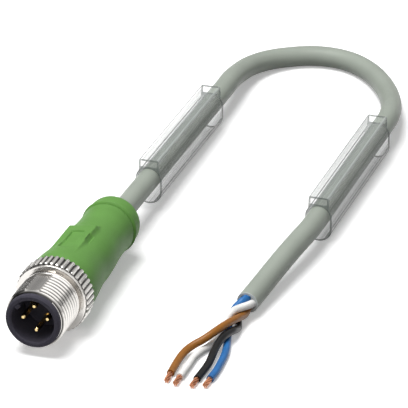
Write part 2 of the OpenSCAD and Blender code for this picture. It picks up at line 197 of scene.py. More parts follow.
def finished(name, mesh, sharp_deg=35):
    """Gives a mesh outward faces and soft shading with crisp edges, as an object of the scene."""
    work = bmesh.new()
    work.from_mesh(mesh)
    bmesh.ops.remove_doubles(work, verts=work.verts, dist=1e-7)
    bmesh.ops.recalc_face_normals(work, faces=work.faces)
    work.to_mesh(mesh)
    work.free()
    for face in mesh.polygons:
        face.use_smooth = True
    mesh.set_sharp_from_angle(angle=math.radians(sharp_deg))
    return placed(bpy.data.objects.new(name, mesh))


def evaluated_mesh(thing):
    """The mesh that an object's curve settings or modifiers make of it."""
    graph = bpy.context.evaluated_depsgraph_get()
    return bpy.data.meshes.new_from_object(thing.evaluated_get(graph), depsgraph=graph)


def grid_faces(rows, columns, closed_rows=False, meets=None):
    """Faces of a skin whose rings of points are closed round, one ring after another.

    meets says which ring's first point each ring's last one joins, where rings are helical.
    """
    faces = []
    last = rows if closed_rows else rows - 1
    for i in range(last):
        following = (i + 1) % rows
        for j in range(columns):
            here, there = i, following
            if meets and j == columns - 1:
                here, there = meets[i], meets[following]
            beside = (j + 1) % columns
            faces.append((i * columns + j, here * columns + beside,
                          there * columns + beside, following * columns + j))
    return faces


def capped_faces(rows, columns):
    """Faces of a skin of rings that is closed by a flat face at either end."""
    first = tuple(range(columns))
    last = tuple(range((rows - 1) * columns, rows * columns))
    return grid_faces(rows, columns) + [first, last]


def smooth_route(points, steps=6):
    """A rounded curve through the points of a route, with steps points to each stretch."""
    pts = [Vector(p) * MM for p in points]
    ends = [2 * pts[0] - pts[1]] + pts + [2 * pts[-1] - pts[-2]]
    out = []
    for i in range(1, len(ends) - 2):
        p0, p1, p2, p3 = ends[i - 1:i + 3]
        for k in range(steps):
            u = k / steps
            out.append(0.5 * (2 * p1 + (p2 - p0) * u + (2 * p0 - 5 * p1 + 4 * p2 - p3) * u * u
                              + (3 * p1 - p0 - 3 * p2 + p3) * u ** 3))
    out.append(pts[-1])
    return out


def ring_frames(points):
    """Side and top directions along a route, carried from ring to ring without twist."""
    count = len(points)
    headings = []
    for i in range(count):
        headings.append((points[min(i + 1, count - 1)] - points[max(i - 1, 0)]).normalized())
    side = headings[0].cross(UP).normalized()
    frames = []
    for heading in headings:
        side = (side - heading * side.dot(heading)).normalized()
        frames.append((side, side.cross(heading)))
    return frames


# ---------------------------------------------------------------- nodes and materials

# What is left of a metal's tone under the painted shade in the roots of a thread or a knurl
ROOT_SHADE = 0.07

# What is left of a clear plastic's tint under the painted dark rim, where a wall is seen edge on
EDGE_SHADE = 0.22


def add_node(tree, kind, inputs=None, **settings):
    """Adds a node with its settings. Each input takes a value, or a link where it gets a socket."""
    node = tree.nodes.new(kind)
    for name, value in settings.items():
        setattr(node, name, value)
    for name, value in (inputs or {}).items():
        if isinstance(value, bpy.types.NodeSocket):
            tree.links.new(value, node.inputs[name])
        else:
            node.inputs[name].default_value = value
    return node


def new_material(name, sockets):
    """A material with one shader, whose sockets start at the given values."""
    mat = bpy.data.materials.new(name)
    mat.use_nodes = True
    tree = mat.node_tree
    tree.nodes.clear()
    shader = add_node(tree, "ShaderNodeBsdfPrincipled", sockets)
    add_node(tree, "ShaderNodeOutputMaterial", {"Surface": shader.outputs["BSDF"]})
    return mat, tree, shader


def uneven_pattern(tree, widths, detail):
    """Soft uneven marks, as wide along X, Y and Z as the widths in millimetres.

    Returns the pattern as it is, and the same with its middle range spread over 0 to 1.
    """
    coords = add_node(tree, "ShaderNodeTexCoord")
    sized = add_node(tree, "ShaderNodeMapping", {
        "Vector": coords.outputs["Object"], "Scale": [1 / (width * MM) for width in widths]})
    marks = add_node(tree, "ShaderNodeTexNoise", {
        "Vector": sized.outputs["Vector"], "Scale": 1.0, "Detail": detail})
    spread = add_node(tree, "ShaderNodeMapRange", {
        "Value": marks.outputs["Fac"], "From Min": 0.3, "From Max": 0.7})
    return marks.outputs["Fac"], spread.outputs["Result"]


def give_gloss_and_relief(tree, shader, pattern, roughness, relief):
    """Lets gloss and relief follow a pattern, where they are given.

    roughness is the lowest and the highest. relief is the marks' height in millimetres and how
    strongly they show.
    """
    marks, spread = pattern
    if roughness:
        gloss = add_node(tree, "ShaderNodeMix", {
            "Factor": spread, "A": roughness[0], "B": roughness[1]}, data_type="FLOAT")
        tree.links.new(gloss.outputs["Result"], shader.inputs["Roughness"])
    if relief:
        bump = add_node(tree, "ShaderNodeBump", {
            "Height": marks, "Distance": relief[0] * MM, "Strength": relief[1]})
        tree.links.new(bump.outputs["Normal"], shader.inputs["Normal"])


def solid_material(name, colour, tones, grain, cloud=None, roughness=None, relief=None,
                   sockets=None):
    """A material that hides what is under it, with worked-in marks and a drift of tone.

    tones are its darkest and lightest tone as shares of the colour. grain and cloud are patterns,
    each given by its widths in millimetres and its detail: gloss and relief follow the grain, and
    tone follows the cloud, or the grain where there is no cloud. Plastics and rubber keep the
    shader's own IOR, 1.5, which is usual for them.
    """
    mat, tree, shader = new_material(name, sockets)
    fine = uneven_pattern(tree, *grain)
    slow = uneven_pattern(tree, *cloud) if cloud else fine
    tone = add_node(tree, "ShaderNodeMix", {
        "Factor": slow[1], "A": shaded(colour, tones[0]), "B": shaded(colour, tones[1])},
        data_type="RGBA")
    tree.links.new(tone.outputs["Result"], shader.inputs["Base Color"])
    give_gloss_and_relief(tree, shader, fine, roughness, relief)
    return mat, tree, shader, tone.outputs["Result"]


def nickel_plated_brass(colour, name, shade_at=None, unshaded_at=None):
    """Turned brass under bright nickel: mirror-like, with turning marks that streak its gloss.

    shade_at and unshaded_at are the radii between which a thread or a knurl goes from the painted
    shade in its roots to the metal's own tone. Real turning marks are under 0.05 mm apart, so they
    are drawn 0.12 mm apart, where they still show as a streak. Handling clouds the plating in
    patches 4 mm wide.
    """
    mat, tree, shader, tone = solid_material(
        "nickel_plated_brass_" + name, colour, tones=(0.92, 1.05), roughness=(0.10, 0.22),
        grain=((4.444, 0.12346, 4.444), 2.0), cloud=((3.846,) * 3, 3.0), relief=(0.004, 0.5),
        sockets={"Metallic": 1.0})
    # Painted shade: the metal darkens towards the roots of a thread or a knurl
    if shade_at is not None:
        coords = add_node(tree, "ShaderNodeTexCoord")
        across = add_node(tree, "ShaderNodeMapping", {
            "Vector": coords.outputs["Object"], "Location": (0, 0, -AXIS_Z), "Scale": (1, 0, 1)})
        radius = add_node(tree, "ShaderNodeVectorMath", {0: across.outputs["Vector"]},
                          operation="LENGTH")
        root_shade = add_node(tree, "ShaderNodeMapRange", {
            "Value": radius.outputs["Value"], "From Min": shade_at, "From Max": unshaded_at,
            "To Min": ROOT_SHADE}, interpolation_type="SMOOTHSTEP")
        both = add_node(tree, "ShaderNodeMix", {
            "Factor": 1.0, "A": tone, "B": root_shade.outputs["Result"]},
            data_type="RGBA", blend_type="MULTIPLY")
        tree.links.new(both.outputs["Result"], shader.inputs["Base Color"])
    return mat


def gold_plated_brass(colour):
    """A turned brass pin with a gold flash: bright, with rub marks along it from mating.

    Real rub marks are hair-fine. They are drawn two thirds of a millimetre wide, so that they show.
    """
    return solid_material(
        "gold_flash_on_brass", colour, tones=(0.92, 1.08), roughness=(0.1, 0.2),
        grain=((0.6667, 4.444, 0.6667), 2.0), sockets={"Metallic": 1.0})[0]


def moulded_nylon(colour, name):
    """Moulded glass-filled nylon: a dull shine broken by the fibres' grain.

    The fibres are 0.01 mm thick, so their grain is drawn 0.38 mm wide, where it just shows.
    """
    return solid_material(
        "moulded_nylon_" + name, colour, tones=(0.85, 1.2), roughness=(0.6, 0.72),
        grain=((0.3846,) * 3, 3.0), relief=(0.01, 0.5), sockets={"Specular IOR Level": 0.16})[0]


def moulded_polyurethane(colour):
    """Soft polyurethane moulded in a spark-eroded tool: satin, finely grained, slightly cloudy.

    Spark-eroded grain is about 0.1 mm wide. It is drawn 0.26 mm wide, where it softens the sheen.
    The colour's clouds are 6 mm wide.
    """
    return solid_material(
        "moulded_polyurethane_green", colour, tones=(0.93, 1.07), roughness=(0.40, 0.52),
        grain=((0.2632,) * 3, 3.0), cloud=((5.882,) * 3, 2.0), relief=(0.016, 0.6),
        sockets={"Specular IOR Level": 0.12})[0]


def extruded_jacket(colour):
    """Extruded polyurethane jacket: satin, with an orange-peel skin half a millimetre wide.

    Its tone drifts in clouds 8 mm wide, as it comes off the extruder.
    """
    return solid_material(
        "extruded_polyurethane_grey", colour, tones=(0.95, 1.05), roughness=(0.36, 0.5),
        grain=((0.5556,) * 3, 3.0), cloud=((8.333,) * 3, 2.0), relief=(0.02, 0.5),
        sockets={"Specular IOR Level": 0.22})[0]


def cut_jacket(colour):
    """The same plastic where a blade went through it: paler, matt and torn in 0.3 mm crumbs."""
    return solid_material(
        "cut_polyurethane_grey", colour, tones=(0.9, 1.06),
        grain=((0.3125,) * 3, 3.0), relief=(0.03, 0.6), sockets={"Roughness": 0.65})[0]


def extruded_insulation(colour, name):
    """Extruded vinyl insulation: glossy, with a slow drift of tone where it was bent.

    Its skin is nearly smooth. A grain 0.4 mm wide breaks its highlights, as handling does. The
    drift of tone is 2.4 mm wide.
    """
    return solid_material(
        "extruded_vinyl_" + name, colour, tones=(0.9, 1.08), roughness=(0.3, 0.4),
        grain=((0.4167,) * 3, 2.0), cloud=((2.381,) * 3, 2.0), relief=(0.01, 0.5),
        sockets={"Specular IOR Level": 0.25})[0]


def drawn_copper(colour):
    """Bare drawn copper strands: metallic, dulled in 0.7 mm patches by air and handling."""
    return solid_material(
        "drawn_bare_copper", colour, tones=(0.75, 1.15), roughness=(0.3, 0.48),
        grain=((0.7143,) * 3, 3.0), sockets={"Metallic": 0.85})[0]


def nitrile_rubber(colour):
    """Moulded nitrile rubber: matt black, with bloom in half-millimetre patches."""
    return solid_material(
        "moulded_nitrile_rubber", colour, tones=(0.8, 1.2),
        grain=((0.5,) * 3, 2.0), sockets={"Roughness": 0.7})[0]


def clear_vinyl(colour, name, lines, edge_on, rim_at):
    """Clear extruded vinyl: faint draw lines face on, and a painted dark rim on walls seen edge on.

    lines is the cover between and on the draw lines, edge_on is the cover of the rim, and rim_at
    is the slant at which the rim begins and is full. Real draw lines are under 0.1 mm wide, so
    they are drawn a third of a millimetre wide. They run on for longer than the sleeve.
    """
    mat, tree, shader = new_material(name, {"IOR": 1.5})
    drawn = uneven_pattern(tree, (0.3333, 166.7, 0.3333), 2.0)
    give_gloss_and_relief(tree, shader, drawn, (0.08, 0.16), (0.01, 0.5))
    slant = add_node(tree, "ShaderNodeLayerWeight", {"Blend": 0.5})
    rim = add_node(tree, "ShaderNodeMapRange", {
        "Value": slant.outputs["Facing"], "From Min": rim_at[0], "From Max": rim_at[1]},
        interpolation_type="SMOOTHSTEP")
    # Painted shade: the tint darkens into a dark rim where a wall is seen edge on
    tone = add_node(tree, "ShaderNodeMix", {
        "Factor": rim.outputs["Result"], "A": shaded(colour), "B": shaded(colour, EDGE_SHADE)},
        data_type="RGBA")
    face_on = add_node(tree, "ShaderNodeMix", {
        "Factor": drawn[1], "A": lines[0], "B": lines[1]}, data_type="FLOAT")
    cover = add_node(tree, "ShaderNodeMix", {
        "Factor": rim.outputs["Result"], "A": face_on.outputs["Result"], "B": edge_on},
        data_type="FLOAT")
    tree.links.new(tone.outputs["Result"], shader.inputs["Base Color"])
    tree.links.new(cover.outputs["Result"], shader.inputs["Alpha"])
    return mat


def set_material(thing, *mats):
    """Gives an object its materials in order."""
    thing.data.materials.clear()
    for mat in mats:
        thing.data.materials.append(mat)


def dress_node(name, mat):
    """Gives a node of the frame a material in place of its plain one."""
    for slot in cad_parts[name].material_slots:
        slot.material = mat


# ---------------------------------------------------------------- geometry node helpers

def node_group(name, inputs):
    """A geometry tree with named inputs. Returns the tree and what its input node gives."""
    tree = bpy.data.node_groups.new(name, "GeometryNodeTree")
    tree.interface.new_socket("Geometry", in_out="INPUT", socket_type="NodeSocketGeometry")
    for label, kind, value in inputs:
        made = tree.interface.new_socket(label, in_out="INPUT", socket_type=kind)
        if value is not None:
            made.default_value = value
    tree.interface.new_socket("Geometry", in_out="OUTPUT", socket_type="NodeSocketGeometry")
    return tree, add_node(tree, "NodeGroupInput").outputs


def close_group(tree, source, given):
    """Ends a tree: instances become real mesh and take the material."""
    real = add_node(tree, "GeometryNodeRealizeInstances", {"Geometry": source})
    dressed = add_node(tree, "GeometryNodeSetMaterial", {
        "Geometry": real.outputs["Geometry"], "Material": given["Material"]})
    add_node(tree, "NodeGroupOutput", {"Geometry": dressed.outputs["Geometry"]})


def run_group(name, start, tree, values, sharp_deg=35):
    """Runs a tree on an object and returns its result as a plain mesh object."""
    modifier = start.modifiers.new("build", "NODES")
    modifier.node_group = tree
    for item in tree.interface.items_tree:
        if item.in_out == "INPUT" and item.name in values:
            modifier[item.identifier] = values[item.name]
    start.update_tag()
    mesh = evaluated_mesh(start)
    start.modifiers.remove(modifier)
    data = start.data
    bpy.data.objects.remove(start)
    if data.users == 0:
        (bpy.data.curves if isinstance(data, bpy.types.Curve) else bpy.data.meshes).remove(data)
    made = finished(name, mesh, sharp_deg)
    set_material(made, values["Material"])
    return made


def route_object(points):
    """A poly curve along a route, for a tree to follow."""
    curve = bpy.data.curves.new("route", "CURVE")
    curve.dimensions = "3D"
    spline = curve.splines.new("POLY")
    spline.points.add(len(points) - 1)
    for place, p in zip(spline.points, points):
        place.co = (p[0], p[1], p[2], 1.0)
    return placed(bpy.data.objects.new("route", curve))


def tube_tree():
    """A round skin along a route, with flat ends."""
    tree, given = node_group("round_tube", [
        ("Radius", "NodeSocketFloat", 1.0 * MM),
        ("Sides", "NodeSocketInt", 20),
        ("Material", "NodeSocketMaterial", None)])
    circle = add_node(tree, "GeometryNodeCurvePrimitiveCircle", {
        "Radius": given["Radius"], "Resolution": given["Sides"]})
    skin = add_node(tree, "GeometryNodeCurveToMesh", {
        "Curve": given["Geometry"], "Profile Curve": circle.outputs["Curve"], "Fill Caps": True})
    close_group(tree, skin.outputs["Mesh"], given)
    return tree


def strand_tree():
    """A lay of round strands turning about a route, with one strand in the middle."""
    tree, given = node_group("strand_lay", [
        ("Strands", "NodeSocketInt", 6),
        ("Strand radius", "NodeSocketFloat", 0.15 * MM),
        ("Lay radius", "NodeSocketFloat", 0.33 * MM),
        ("Turns", "NodeSocketFloat", 0.35),
        ("Points", "NodeSocketInt", 14),
        ("Sides", "NodeSocketInt", 10),
        ("Material", "NodeSocketMaterial", None)])
    fine = add_node(tree, "GeometryNodeResampleCurve", {
        "Curve": given["Geometry"], "Count": given["Points"]})
    copies = add_node(tree, "GeometryNodeDuplicateElements", {
        "Geometry": fine.outputs["Curve"], "Amount": given["Strands"]}, domain="SPLINE")
    # Each copy's angle about the route: its share of a turn, and more along its length
    along = add_node(tree, "GeometryNodeSplineParameter")
    share = add_node(tree, "ShaderNodeMath", {
        0: copies.outputs["Duplicate Index"], 1: given["Strands"]}, operation="DIVIDE")
    turned = add_node(tree, "ShaderNodeMath", {
        0: along.outputs["Factor"], 1: given["Turns"]}, operation="MULTIPLY")
    turns = add_node(tree, "ShaderNodeMath", {
        0: share.outputs["Value"], 1: turned.outputs["Value"]}, operation="ADD")
    angle = add_node(tree, "ShaderNodeMath", {
        0: turns.outputs["Value"], 1: TURN}, operation="MULTIPLY")
    cosine = add_node(tree, "ShaderNodeMath", {0: angle.outputs["Value"]}, operation="COSINE")
    sine = add_node(tree, "ShaderNodeMath", {0: angle.outputs["Value"]}, operation="SINE")
    # The way out from the route at that angle
    tangent = add_node(tree, "GeometryNodeInputTangent")
    normal = add_node(tree, "GeometryNodeInputNormal")
    across = add_node(tree, "ShaderNodeVectorMath", {
        0: tangent.outputs["Tangent"], 1: normal.outputs["Normal"]}, operation="CROSS_PRODUCT")
    by_normal = add_node(tree, "ShaderNodeVectorMath", {
        0: normal.outputs["Normal"], "Scale": cosine.outputs["Value"]}, operation="SCALE")
    by_across = add_node(tree, "ShaderNodeVectorMath", {
        0: across.outputs["Vector"], "Scale": sine.outputs["Value"]}, operation="SCALE")
    outward = add_node(tree, "ShaderNodeVectorMath", {
        0: by_normal.outputs["Vector"], 1: by_across.outputs["Vector"]}, operation="ADD")
    offset = add_node(tree, "ShaderNodeVectorMath", {
        0: outward.outputs["Vector"], "Scale": given["Lay radius"]}, operation="SCALE")
    laid = add_node(tree, "GeometryNodeSetPosition", {
        "Geometry": copies.outputs["Geometry"], "Offset": offset.outputs["Vector"]})
    circle = add_node(tree, "GeometryNodeCurvePrimitiveCircle", {
        "Radius": given["Strand radius"], "Resolution": given["Sides"]})
    outer, middle = [
        add_node(tree, "GeometryNodeCurveToMesh", {
            "Curve": curve, "Profile Curve": circle.outputs["Curve"], "Fill Caps": True})
        for curve in (laid.outputs["Geometry"], fine.outputs["Curve"])]
    bundle = add_node(tree, "GeometryNodeJoinGeometry", {"Geometry": outer.outputs["Mesh"]})
    tree.links.new(middle.outputs["Mesh"], bundle.inputs["Geometry"])
    close_group(tree, bundle.outputs["Geometry"], given)
    return tree


def knurl_tree():
    """One ridge, set round the plug's axis at even steps."""
    tree, given = node_group("straight_knurl", [
        ("Ridges", "NodeSocketInt", 40),
        ("Axis height", "NodeSocketFloat", AXIS_Z),
        ("Material", "NodeSocketMaterial", None)])
    centre = add_node(tree, "ShaderNodeCombineXYZ", {"Z": given["Axis height"]})
    places = add_node(tree, "GeometryNodeMeshLine", {
        "Count": given["Ridges"], "Start Location": centre.outputs["Vector"],
        "Offset": (0, 0, 0)}, mode="OFFSET")
    index = add_node(tree, "GeometryNodeInputIndex")
    share = add_node(tree, "ShaderNodeMath", {
        0: index.outputs["Index"], 1: given["Ridges"]}, operation="DIVIDE")
    angle = add_node(tree, "ShaderNodeMath", {
        0: share.outputs["Value"], 1: TURN}, operation="MULTIPLY")
    turned = add_node(tree, "ShaderNodeCombineXYZ", {"Y": angle.outputs["Value"]})
    ridges = add_node(tree, "GeometryNodeInstanceOnPoints", {
        "Points": places.outputs["Mesh"], "Instance": given["Geometry"],
        "Rotation": turned.outputs["Vector"]})
    close_group(tree, ridges.outputs["Instances"], given)
    return tree


# ---------------------------------------------------------------- the coupling nut

# Lengths along the nut, from its front face or its rear one
COLLAR_AT = 8.5 * MM
RELIEF_L = 0.8 * MM
KNURL_AT = 9.0 * MM
REAR_BORE_L = 2.7 * MM

# Small edges of the nut. A pair is how far an edge is eased across and along
BORE_EDGE = (0.1 * MM, 0.15 * MM)
REAR_EDGE = (0.15 * MM, 0.3 * MM)
RELIEF_FILLET = 0.42 * MM
RIM_EDGE = 0.14 * MM

# A ring of points this far inside the rim keeps the collar's face flat, and a slope this long
# joins two radii
RIM_FACE = 0.42 * MM
SMALL_STEP = 0.05 * MM

# How far a ridge of the knurl is sunk in the body
RIDGE_SINK = 0.1 * MM

# Where the painted shade in the roots gives way to the metal's own tone: above the thread's roots,
# and below the knurl's top
THREAD_ROOT_SHADE = (0.08 * MM, 0.44 * MM)
KNURL_ROOT_SHADE = (0.34 * MM, 0.12 * MM)

# One pitch of the thread: how far along it each corner is, and its height as a share
THREAD_CORNERS = ((0.0, 0), (0.12, 0), (0.44, 1), (0.56, 1), (0.88, 0), (1.0, 0))

# The front face lies this far inside the thread's root, and the thread begins this far behind it.
# Its first turns rise from just under the root at the lead's slope
FACE_DROP = 0.12 * MM
THREAD_AT = 0.12 * MM
LEAD_DROP = 0.1 * MM
LEAD_SLOPE = 1.1

# The flats face up and down, leaning 6 degrees towards -X
FLATS_TURN = math.radians(96)

NUT_COLUMNS = 180
FILLET_STEPS = 6
EDGE_STEPS = 4


def thread_height(u, root, crest):
    """Radius across one thread: u runs from 0 to 1 over a pitch."""
    for (start, low), (end, high) in zip(THREAD_CORNERS, THREAD_CORNERS[1:]):
        if u <= end:
            return root + (crest - root) * (low + (high - low) * (u - start) / (end - start))
    return root


def flattened(radius, angle, flat, crest):
    """A radius of the thread, cut down to the plain flat where that lies under the crests."""
    off = abs((angle - FLATS_TURN + math.pi / 2) % math.pi - math.pi / 2)
    level = flat / max(math.cos(off), 0.2)
    return level if level < crest else radius


def nut_skin(s):
    """Points and faces of the nut: a helical thread between two plain flats, rim and bores."""
    columns = NUT_COLUMNS
    start = NUT_START
    collar = start + COLLAR_AT
    relief = collar - RELIEF_L
    crest = s.thread_d / 2
    root = s.root_d / 2
    bore = s.nut_bore_d / 2
    rim = s.rim_d / 2
    under_knurl = KNURL_TOP - s.ridge_h
    rings = []

    def plain(radius, station):
        rings.append([spin_point(radius, TURN * j / columns, station) for j in range(columns)])

    plain(bore, NUT_END - REAR_BORE_L)
    plain(bore, start + BORE_EDGE[1])
    plain(bore + BORE_EDGE[0], start)
    plain(root - FACE_DROP, start)

    # The thread's rings are helical: each column sits a little nearer the nose than the last
    marks = [corner[0] for corner in THREAD_CORNERS[:-1]]
    first = start + THREAD_AT
    turns = int((relief - first) / s.pitch) + 2
    helix_start = len(rings)
    for k in range(-1, turns):
        for u in marks:
            ring = []
            for j in range(columns):
                angle = TURN * j / columns
                at = first + (k + u - j / columns) * s.pitch
                station = min(max(at, first), relief)
                if station != at:
                    phase = ((station - first) / s.pitch + j / columns) % 1.0
                else:
                    phase = u
                radius = thread_height(phase, root, crest)
                lead = root - LEAD_DROP + (station - start) * LEAD_SLOPE
                radius = min(flattened(radius, angle, s.flats_d / 2, crest), lead)
                ring.append(spin_point(radius, angle, station))
            rings.append(ring)
    helix_end = len(rings)

    plain(root, relief + SMALL_STEP)
    for step in range(FILLET_STEPS + 1):
        bend = math.pi / 2 * step / FILLET_STEPS
        plain(s.relief_d / 2 + RELIEF_FILLET * (1 - math.cos(bend)),
              collar - RELIEF_FILLET * (1 - math.sin(bend)))
    plain(rim - RIM_FACE, collar)
    for step in range(EDGE_STEPS + 1):
        bend = math.pi / 2 * step / EDGE_STEPS
        plain(rim - RIM_EDGE * (1 - math.sin(bend)), collar + RIM_EDGE * (1 - math.cos(bend)))
    plain(rim, start + KNURL_AT)
    plain(under_knurl, start + KNURL_AT + SMALL_STEP)
    plain(under_knurl, NUT_END - REAR_EDGE[1])
    plain(under_knurl - REAR_EDGE[0], NUT_END)
    plain(s.nut_rear_d / 2, NUT_END)
    plain(s.nut_rear_d / 2, NUT_END - REAR_BORE_L)

    meets = list(range(len(rings)))
    for i in range(helix_start + len(marks), helix_end):
        meets[i] = i - len(marks)
    return joined(rings), grid_faces(len(rings), columns, closed_rows=True, meets=meets)


def knurl_ridge(s):
    """One ridge of the knurl at the right of the axis, long along the plug, with eased ends."""
    top = KNURL_TOP
    low = top - s.ridge_h - RIDGE_SINK
    foot = low + 0.12 * MM
    shoulder = top - 0.06 * MM
    step = TURN / s.ridge_count
    start = NUT_START + KNURL_AT + 0.02 * MM
    end = NUT_END
    # Radius, and distance round the nut as a share of the step from ridge to ridge
    section = ((low, -0.43), (foot, -0.42), (shoulder, -0.19), (top, -0.12),
               (top, 0.12), (shoulder, 0.19), (foot, 0.42), (low, 0.43))
    # Distance from the nose, and how far the crest is eased down there
    stations = ((start, 0.38 * MM), (start + 0.10 * MM, 0.14 * MM), (start + 0.30 * MM, 0.0),
                (end - 0.32 * MM, 0.0), (end - 0.12 * MM, 0.14 * MM), (end, 0.36 * MM))
    points = []
    for station, drop in stations:
        for radius, share in section:
            r = max(min(radius, top - drop), low)
            a = share * step
            points.append((r * math.cos(a), NOSE_Y + station, r * math.sin(a)))
    mesh = bpy.data.meshes.new("knurl_ridge")
    mesh.from_pydata(points, [], capped_faces(len(stations), len(section)))
    return placed(bpy.data.objects.new("knurl_ridge", mesh))


class BuildNut(bpy.types.Operator):
    """Build the plated coupling nut with its thread, flats and knurl"""
    bl_idname = "sensor_plug.nut"
    bl_label = "Coupling nut"

    def execute(self, context):
        sizes = context.scene.plug_sizes
        colour = context.scene.plug_colours.nickel
        root = sizes.root_d / 2
        plain = nickel_plated_brass(colour, "turned")
        threaded = nickel_plated_brass(colour, "threaded", *[root + r for r in THREAD_ROOT_SHADE])
        knurled = nickel_plated_brass(colour, "knurled", *[KNURL_TOP - r for r in KNURL_ROOT_SHADE])
        points, faces = nut_skin(sizes)
        body = new_mesh_object("nut_turned_body", points, faces, 28)
        set_material(body, plain, threaded, knurled)
        # The thread and the body under the knurl get painted shade in their roots, and the rest of
        # the nut is plain
        thread_end = NOSE_Y + NUT_START + COLLAR_AT - RELIEF_L - 0.1 * MM
        knurl_start = NOSE_Y + NUT_START + KNURL_AT
        for face in body.data.polygons:
            x, y, z = face.center
            radius = math.hypot(x, z - AXIS_Z)
            if radius > root - 0.05 * MM and y < thread_end:
                face.material_index = 1
            elif radius > sizes.nut_rear_d / 2 + 0.1 * MM and y > knurl_start:
                face.material_index = 2
        knurl = run_group(
            "nut_knurl", knurl_ridge(sizes), knurl_tree(),
            {"Ridges": sizes.ridge_count, "Axis height": AXIS_Z, "Material": knurled}, 28)
        for piece in (body, knurl):
            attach(piece, "nut")
        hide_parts("coupling_nut")
        return {"FINISHED"}


# ---------------------------------------------------------------- the grip

# Where the grip's width changes, as shares of its length
TO_MIDDLE = (0.04, 0.36)
TO_WAIST = (0.4, 0.72)
TO_RING = (0.74, 0.84)

# Edges of the grip, and the groove and the bead round it, each a height and a half width
FRONT_EDGE = 0.6 * MM
REAR_EDGE_R = 2.4 * MM
GROOVE_FROM_REAR = 5.35 * MM
GROOVE = (0.42 * MM, 0.18 * MM)
BEAD = (0.28 * MM, 0.26 * MM)
BEAD_BEHIND_GROOVE = 0.55 * MM

# The hole for the cable, and the radius and the depth of the mouth in the grip's front face
CABLE_HOLE = 2.22 * MM
HOLE_EDGE = 0.12 * MM
HOLE_WALL = 0.2 * MM
HOLE_L = 4 * MM
MOUTH = (5.85 * MM, 0.9 * MM)

# The thumb panel faces up, leaning 9 degrees towards -X, and reaches this far round, in radians.
# It is worked out a little past both ends. It rises steeply at the front, and falls to a lower
# height over a length at the rear
PANEL_TURN = math.radians(99)
PANEL_REACH = 1.35
PANEL_MARGIN = (2 * MM, 1 * MM)
PANEL_AT = 3.2 * MM
PANEL_RISE = 1.2
PANEL_FALL_L = 2.2 * MM
PANEL_FALL_TO = 4.6 * MM
PANEL_SOFT = 0.25 * MM
PANEL_FOOT_SOFT = 0.3 * MM
FLANK_IN = 0.1 * MM
FLANK_SLOPE = 0.42
WINDOW_EDGE = (-0.04 * MM, 0.06 * MM)

# The position notch beside the panel: which way it faces and how far round it is looked for, in
# radians, its place, half sizes and depth
NOTCH_TURN = math.radians(70)
NOTCH_REACH = 0.5
NOTCH_AT = 11.3 * MM
NOTCH_HALF_W = 0.5 * MM
NOTCH_HALF_L = 1.5 * MM
NOTCH_DEPTH = 0.3 * MM
NOTCH_EDGE = (-0.08 * MM, 0.12 * MM)


def ease(a, b, x):
    """0 up to a and 1 from b on, with a soft change between."""
    u = min(1.0, max(0.0, (x - a) / (b - a)))
    return u * u * (3 - 2 * u)


def soft_max(a, b, blend):
    """The larger of two radii, rounded where they meet."""
    gap = max(blend - abs(a - b), 0.0) / blend
    return max(a, b) + gap * gap * blend / 4


def soft_min(a, b, blend):
    """The smaller of two radii, rounded where they meet."""
    return -soft_max(-a, -b, blend)


def turn_from(angle, middle):
    """How far an angle is from another, from -pi to pi."""
    return (angle - middle + math.pi) % TURN - math.pi


def quarter_round(distance, radius):
    """How far a rounded edge has fallen at a distance from its end."""
    if distance >= radius:
        return 0.0
    return radius - math.sqrt(max(radius ** 2 - (radius - distance) ** 2, 0))


def swell(distance, shape):
    """A soft ring of a height and a half width, at a distance from its middle."""
    height, half_width = shape
    return height * math.exp(-(distance / half_width) ** 2)


def grip_round(s, along):
    """Radius of the grip's round body, at a distance behind its front face."""
    total = PLUG_LENGTH - GRIP_START
    u = along / total
    width = s.grip_front_d
    width += (s.grip_mid_d - width) * ease(*TO_MIDDLE, u)
    width += (s.grip_waist_d - width) * ease(*TO_WAIST, u)
    width += (s.grip_ring_d - width) * ease(*TO_RING, u)
    groove = total - GROOVE_FROM_REAR
    r = width / 2 - quarter_round(along, FRONT_EDGE)
    r -= swell(along - groove, GROOVE)
    r += swell(along - groove - BEAD_BEHIND_GROOVE, BEAD)
    return r - quarter_round(total - along, REAR_EDGE_R)


def grip_radius(s, angle, along):
    """Radius of the grip's skin, with its thumb panel, window and position notch."""
    r = grip_round(s, along)
    turn = turn_from(angle, PANEL_TURN)
    start = PANEL_AT
    end = start + s.panel_l
    before, after = PANEL_MARGIN
    if abs(turn) < PANEL_REACH and start - before < along < end + PANEL_FALL_L + after:
        height = s.panel_h
        if along > end:
            height -= (s.panel_h - PANEL_FALL_TO) * (along - end) / PANEL_FALL_L
        if along < start:
            height = s.panel_h - (start - along) * PANEL_RISE
        flat = height / max(math.cos(turn), 0.05)
        flank = (s.panel_w / 2 - FLANK_IN + height * FLANK_SLOPE) / max(
            math.sin(abs(turn)) + FLANK_SLOPE * math.cos(turn), 0.05)
        panel = soft_min(flat, flank, PANEL_SOFT)
        r = soft_max(r, panel, PANEL_FOOT_SOFT)
        across = r * math.sin(turn)
        middle = start + s.panel_l / 2
        inside = min(s.window_w / 2 - abs(across), s.window_l / 2 - abs(along - middle))
        r -= s.window_depth * ease(*WINDOW_EDGE, inside)
    notch_turn = turn_from(angle, NOTCH_TURN)
    if abs(notch_turn) < NOTCH_REACH:
        across = r * math.sin(notch_turn)
        inside = min(NOTCH_HALF_W - abs(across), NOTCH_HALF_L - abs(along - NOTCH_AT))
        r -= NOTCH_DEPTH * ease(*NOTCH_EDGE, inside)
    return r


def grip_angles():
    """Angles round the grip, closer together over the panel and the notch than elsewhere."""
    close, wide = 0.6, 3.0
    angles = []
    degrees = 0.0
    while degrees < 360.0:
        angles.append(math.radians(degrees))
        degrees += close if 44 < degrees < 150 else wide
    return angles


